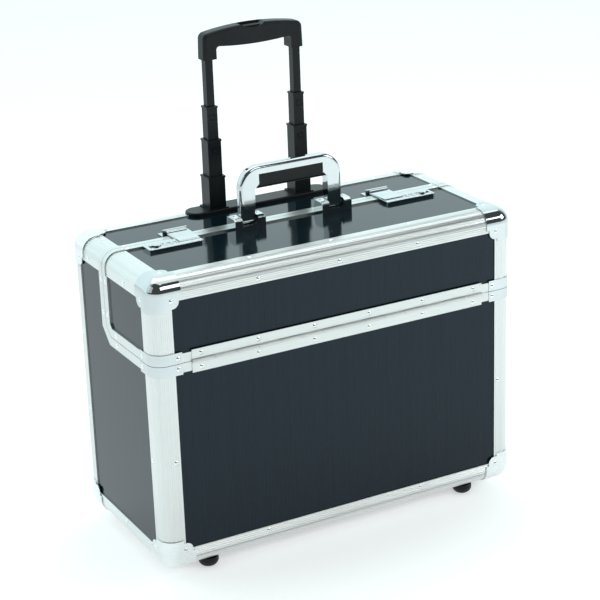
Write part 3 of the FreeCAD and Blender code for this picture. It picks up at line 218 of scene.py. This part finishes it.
def panel_board(name, across):
    """Laminate whose upright grain varies along one axis, with felt on the faces inside the case."""
    material, on, shader = new_finish(name, IOR=1.42, Specular_Tint=(0.62, 0.66, 0.8, 1))
    place = on.node("TexCoord", out=3)
    apart = on.node("SeparateXYZ", values={0: place})
    x, y, z = (Shade(on.tree, apart.socket.node.outputs[n]) for n in range(3))
    beneath_faces = (x.sum("ABSOLUTE", 0.0) < 0.239) * (y.sum("ABSOLUTE", 0.0) < 0.1095)
    within = beneath_faces * (z > 0.0155) * (z < 0.3685)
    stretch = [6.0, 6.0, 6.0]
    stretch["XYZ".index(across)] = 900.0
    grain_place = on.node("Mapping", values={"Vector": place, "Scale": stretch})
    grain_values = {"Vector": grain_place, "Scale": 1.0, "Detail": 4.0, "Roughness": 0.65}
    grain = on.node("TexNoise", values=grain_values)
    fibre = on.node("TexNoise", values={"Vector": place, "Scale": 1400.0, "Detail": 2.0})
    laminate = on.node(
        "ValToRGB",
        {"stops": [(0.3, (0.0015, 0.008, 0.011, 1)), (0.75, (0.004, 0.015, 0.020, 1))]},
        {0: grain},
    )
    felt_stops = [(0.3, (0.02, 0.02, 0.022, 1)), (0.7, (0.06, 0.06, 0.064, 1))]
    felt = on.node("ValToRGB", {"stops": felt_stops}, {0: fibre})
    colour = on.node("Mix", {"data_type": "RGBA"}, {0: within, 6: laminate, 7: felt}, out=2)
    height = grain * 0.35 * (1 - within) + fibre * within
    bump = on.node("Bump", values={"Height": height, "Strength": 0.22, "Distance": 0.0002})
    feed(on, shader, Base_Color=colour, Roughness=within * 0.78 + (grain * 0.08 + 0.06), Normal=bump)
    return material


board_front = panel_board("board_front", "X")
dress(board_front, "front_panel", "rear_panel", "lid_front_panel", "top_rear_panel", "lid_top_panel")
dress(panel_board("board_side", "Y"), "side_panels", "lid_side_panels")
dress(board_front, "bottom_panel")

# ---- Rims, bands and piano hinge
# Satin aluminium channels cap the cut edges along the parting line, and a full-width piano hinge of
# the same metal is riveted over them at the front.
soft_grey = (0.70, 0.72, 0.71)
dress(drawn_aluminium("rim_metal", "Y", soft_grey, 0.24), "case_rim", "lid_rim")
hinge_metal = drawn_aluminium("hinge_metal", "X", soft_grey, 0.24)
dress(hinge_metal, "hinge_case_leaf", "hinge_lid_leaf", "hinge_pin")

# ---- Corner caps, joint plates and rivets
# Pressed steel caps: the two at the front of the lid are chromed, the others satin. Chromed plates
# wrap the front posts at the seam, and domed rivets hold everything.


def polished(name, colour, shine, marks):
    """Plated or polished metal, with faint smears in its gloss."""
    material, on, shader = new_finish(name, Metallic=1.0)
    place = on.node("TexCoord", out=3)
    smear = on.node("TexNoise", values={"Vector": place, "Scale": 26.0, "Detail": 5.0, "Roughness": 0.6})
    specks = on.node("TexNoise", values={"Vector": place, "Scale": 240.0, "Detail": 2.0})
    dull = tuple(part * 0.93 for part in colour) + (1,)
    tone = on.node("ValToRGB", {"stops": [(0.35, dull), (0.65, colour + (1,))]}, {0: smear})
    bump = on.node("Bump", values={"Height": specks * 0.4 + smear, "Strength": marks, "Distance": 0.0005})
    feed(on, shader, Base_Color=tone, Roughness=smear * 0.07 + shine, Normal=bump)
    return material


chrome = polished("chrome_plate", (0.60, 0.63, 0.64), 0.03, 0.05)
satin = polished("satin_plate", (0.80, 0.83, 0.83), 0.24, 0.1)
dress(chrome, "lid_corner_caps", "lid_joint_plates", "case_joint_plates")
dress(satin, "rear_corner_caps", "bottom_corner_caps")
dress(polished("rivet_metal", (0.84, 0.86, 0.86), 0.12, 0.05), "lid_rivets", "case_rivets")

# ---- Feet, wheels and wheel housings
# Moulded black feet in front, and two rubber-tyred wheels that run on steel axles in moulded wells.


def moulding(name, colour, shine, texture):
    """Moulded plastic or rubber with a fine spark-eroded surface."""
    material, on, shader = new_finish(name, IOR=1.33)
    place = on.node("TexCoord", out=3)
    pits = on.node("TexVoronoi", values={"Vector": place, "Scale": 1500.0})
    wear = on.node("TexNoise", values={"Vector": place, "Scale": 30.0, "Detail": 4.0})
    paler = tuple(part * 1.7 + 0.002 for part in colour) + (1,)
    tone = on.node("ValToRGB", {"stops": [(0.35, colour + (1,)), (0.75, paler)]}, {0: wear})
    bump = on.node("Bump", values={"Height": pits, "Strength": texture, "Distance": 0.0002})
    feed(on, shader, Base_Color=tone, Roughness=wear * 0.12 + shine, Normal=bump)
    return material


black_plastic = moulding("black_plastic", (0.005, 0.006, 0.008), 0.34, 0.10)
dress(black_plastic, "front_feet", "wheel_housings")
dress(moulding("wheel_rubber", (0.016, 0.016, 0.017), 0.6, 0.3), "wheel_left", "wheel_right")
dress(satin, "wheel_axles")

# ---- Trolley handle
# Square tubes, black anodised, slide in one another and end in a moulded grip with a release button.
# A moulded bezel closes the top edge round the lowest pair.


def anodised(name, colour, shine):
    """Black anodised tube, drawn upright."""
    material, on, shader = new_finish(name, Metallic=0.0, IOR=1.3)
    place = on.node("TexCoord", out=3)
    stretched = on.node("Mapping", values={"Vector": place, "Scale": (500.0, 500.0, 5.0)})
    lines = on.node("TexNoise", values={"Vector": stretched, "Scale": 1.0, "Detail": 3.0})
    paler = tuple(part * 1.8 for part in colour) + (1,)
    tone = on.node("ValToRGB", {"stops": [(0.3, colour + (1,)), (0.8, paler)]}, {0: lines})
    bump = on.node("Bump", values={"Height": lines, "Strength": 0.1, "Distance": 0.0002})
    feed(on, shader, Base_Color=tone, Roughness=lines * 0.15 + shine, Normal=bump)
    return material


tube_black = anodised("tube_black", (0.006, 0.008, 0.010), 0.26)
dress(tube_black, "trolley_sleeves", "lower_stage_tubes", "middle_stage_tubes")
dress(tube_black, "upper_stage_tubes", "grip_rods")
dress(black_plastic, "middle_lock_pins", "upper_lock_pins")
dress(black_plastic, "trolley_bezel", "grip_shell", "grip_button")

# ---- Carry handle
# A chromed loop with a moulded insert for the fingers, on pins in two chromed saddle brackets.
# Cross-headed screws stand on the bracket ears and on the tongues of the loop.
dress(chrome, "handle_loop", "handle_brackets", "handle_pins")
dress(moulding("handle_insert", (0.006, 0.007, 0.009), 0.26, 0.06), "handle_grip")
screw_steel = polished("screw_steel", (0.74, 0.76, 0.76), 0.16, 0.05)


def screw(name, place, radius, height, body, slot_turn, facing=(0, 0, 1)):
    """A low pan-head screw with a cross recess. It stands on place and faces along facing."""
    bpy.ops.object.select_all(action="DESELECT")
    middle = (0, 0, height / 2)
    bpy.ops.mesh.primitive_cylinder_add(vertices=32, radius=radius, depth=height, location=middle)
    head = bpy.context.object
    head.name = name
    soften = head.modifiers.new("soften", "BEVEL")
    soften.width = height * 0.45
    soften.segments = 4
    bpy.ops.object.modifier_apply(modifier="soften")
    for quarter in (0, 1):
        bpy.ops.mesh.primitive_cube_add(size=1, location=(0, 0, height))
        blade = bpy.context.object
        blade.scale = (radius * 1.2, radius * 0.26, height * 0.9)
        blade.rotation_euler = (0, 0, slot_turn + quarter * math.pi / 2)
        bpy.ops.object.transform_apply(location=True, rotation=True, scale=True)
        bpy.context.view_layer.objects.active = head
        recess = head.modifiers.new("recess", "BOOLEAN")
        recess.operation = "DIFFERENCE"
        recess.object = blade
        bpy.ops.object.modifier_apply(modifier="recess")
        bpy.data.objects.remove(blade, do_unlink=True)
    bpy.ops.object.select_all(action="DESELECT")
    head.select_set(True)
    bpy.context.view_layer.objects.active = head
    head.rotation_euler = Vector(facing).to_track_quat("Z", "Y").to_euler()
    head.location = place
    bpy.ops.object.transform_apply(location=True, rotation=True, scale=True)
    bpy.ops.object.shade_smooth_by_angle(angle=math.radians(40))
    head.data.materials.append(screw_steel)
    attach(head, body)


bracket_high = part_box("handle_brackets")[1]
loop_low, loop_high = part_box("handle_loop")
half_leg = 0.00975
half_bracket = 0.0205
ear_offset = 0.0155
half_tongue = 0.005
leg_middle = loop_high.x - half_leg
tongue_front = (loop_low.y + loop_high.y) / 2 - half_tongue
bracket_middle = bracket_high.x - half_bracket
ear_back = bracket_high.y - 0.0075
for side, label in ((-1, "left"), (1, "right")):
    for ear, where in ((-ear_offset, "inner"), (ear_offset, "outer")):
        ear_top = Vector((side * (bracket_middle + ear), ear_back, bracket_high.z))
        screw(f"bracket_screw_{label}_{where}", ear_top, 0.0021, 0.0008, "lid", 0.4 + ear * 60)
    leg_face = Vector((side * leg_middle, tongue_front, loop_low.z + 0.022))
    screw(f"leg_screw_{label}", leg_face, 0.0022, 0.0007, "handle", 0.2, (0, -1, 0))

# ---- Combination locks
# Chromed die-cast cases, each with three numbered dials, an oval release slide and a hasp. The digits
# are filled with black paint, and screws hold the cases and the catch plates.
dress(chrome, "lock_cases", "hasp_left", "hasp_right", "hasp_catches")
dress(chrome, "lock_slide_left", "lock_slide_right")
dial_metal = polished("dial_metal", (0.62, 0.65, 0.66), 0.3, 0.2)
dress(dial_metal, *[f"dial_{side}_{n}" for side in ("left", "right") for n in (1, 2, 3)])

digit_paint = moulding("digit_paint", (0.004, 0.004, 0.005), 0.4, 0.05)
digit_size = 0.0038
digit_half_depth = 0.00015
digit_sink = 0.0001


def dial_digits(node):
    """Ten filled digits, reading along the dial's axis and spaced evenly round its rim."""
    low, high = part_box(node)
    centre = (low + high) / 2
    radius = (high.z - low.z) / 2
    made = []
    for digit in range(10):
        bpy.ops.object.select_all(action="DESELECT")
        bpy.ops.object.text_add(location=(0, 0, 0))
        bpy.context.object.data.body = str(digit)
        bpy.context.object.data.size = digit_size
        bpy.context.object.data.extrude = digit_half_depth
        bpy.context.object.data.align_x = "CENTER"
        bpy.context.object.data.align_y = "CENTER"
        bpy.ops.object.convert(target="MESH")
        figure = bpy.context.object
        turned = Matrix.Rotation(math.radians(36 * digit), 4, "X")
        raised = Matrix.Translation((0, 0, radius - digit_sink))
        figure.matrix_world = Matrix.Translation(centre) @ (turned @ raised)
        made.append(figure)
    for figure in made:
        figure.select_set(True)
    bpy.context.view_layer.objects.active = made[0]
    bpy.ops.object.join()
    bpy.ops.object.transform_apply(location=True, rotation=True, scale=True)
    ring = bpy.context.object
    ring.name = node + "_digits"
    ring.data.materials.clear()
    ring.data.materials.append(digit_paint)
    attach(ring, node)


for side in ("left", "right"):
    for n in (1, 2, 3):
        dial_digits(f"dial_{side}_{n}")

lock_height = 0.004
plate_thickness = 0.0016
lock_screw_size = (0.0015, 0.0005)
lock_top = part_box("lid_top_panel")[1].z + lock_height
lock_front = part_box("lock_cases")[0].y
catch_low, catch_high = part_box("hasp_catches")
plate_top = catch_low.z + plate_thickness
for side, outward in (("left", -1), ("right", 1)):
    hasp_low, hasp_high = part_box(f"hasp_{side}")
    hasp_middle = (hasp_low.x + hasp_high.x) / 2
    outer_end = outward * (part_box("lock_cases")[1].x - 0.0034)
    inner_place = (hasp_middle, lock_front + 0.0035, lock_top)
    outer_place = (outer_end, lock_front + 0.0038, lock_top)
    screw(f"lock_screw_{side}_inner", inner_place, *lock_screw_size, "lid", 0.3)
    screw(f"lock_screw_{side}_outer", outer_place, *lock_screw_size, "lid", 1.1)
    for offset in (-0.013, 0.013):
        place = (hasp_middle + offset, catch_high.y - 0.0027, plate_top)
        name = f"catch_screw_{side}_{'left' if offset < 0 else 'right'}"
        screw(name, place, 0.0017, 0.0007, "case", 0.7 + offset * 40)
